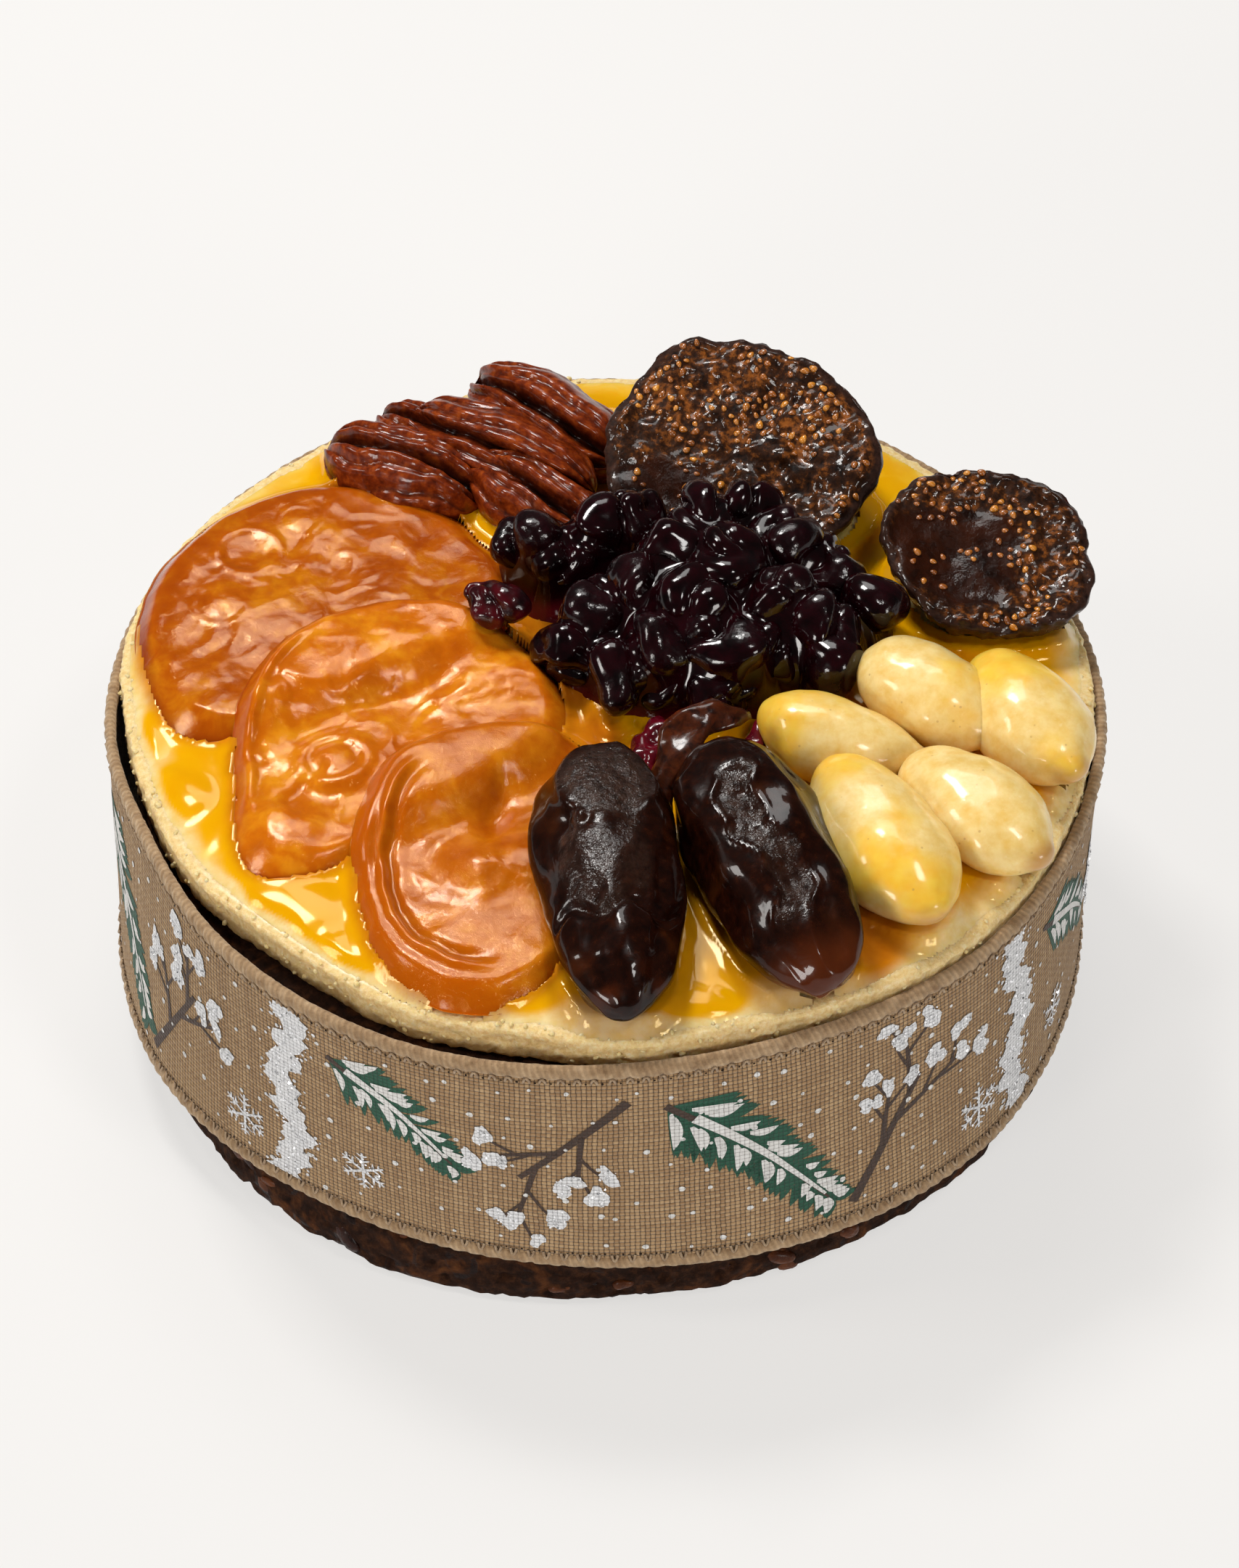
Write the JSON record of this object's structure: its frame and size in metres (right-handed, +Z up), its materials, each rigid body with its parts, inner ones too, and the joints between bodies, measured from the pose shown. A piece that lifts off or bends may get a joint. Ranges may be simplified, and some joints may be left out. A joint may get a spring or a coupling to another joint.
{
  "type": "christmas cake",
  "caption": "Small round fruit cake with a marzipan top, candied fruit slices, dates, almonds, pecans, figs and cranberries, and a woven ribbon round its side.",
  "frame": {"origin": "centre of the cake's footprint, on the surface that it stands on", "axes": "+Z up, -Y towards the side that the picture shows nearest, +X to the right of it"},
  "size_m": [0.1008, 0.0997, 0.0502],
  "materials": {
    "fruit_cake": "matte, open dark crumb with fruit flecks",
    "marzipan": "moist, semi-gloss, granular at the cut edge",
    "linen_ribbon": "woven, matt, printed, with rolled hems",
    "slice_back": "translucent, wet glaze",
    "slice_middle": "translucent, wet glaze",
    "slice_front": "translucent, wet glaze",
    "almond": "smooth, soft sheen with glaze patches",
    "date": "wrinkled skin under glaze",
    "pecan": "ridged, glossy",
    "dried_fig": "sticky dark flesh with golden seeds",
    "cranberry": "near-black, high gloss",
    "cranberry_skin": "dark red, translucent"
  },
  "bodies": {
    "root": {"almond_1": "almond", "almond_2": "almond", "almond_3": "almond", "almond_4": "almond", "almond_5": "almond", "berry_heap": "cranberry", "berry_scrap_1": "cranberry_skin", "berry_scrap_2": "cranberry_skin", "cake": "fruit_cake", "date_1": "date", "date_2": "date", "fig_1": "dried_fig", "fig_2": "dried_fig", "lone_berry": "cranberry", "marzipan": "marzipan", "pecan_1": "pecan", "pecan_2": "pecan", "pecan_3": "pecan", "pecan_4": "pecan", "pecan_5": "pecan", "ribbon": "linen_ribbon", "slice_1": "slice_back", "slice_2": "slice_middle", "slice_3": "slice_front"}
  },
  "joints": []
}
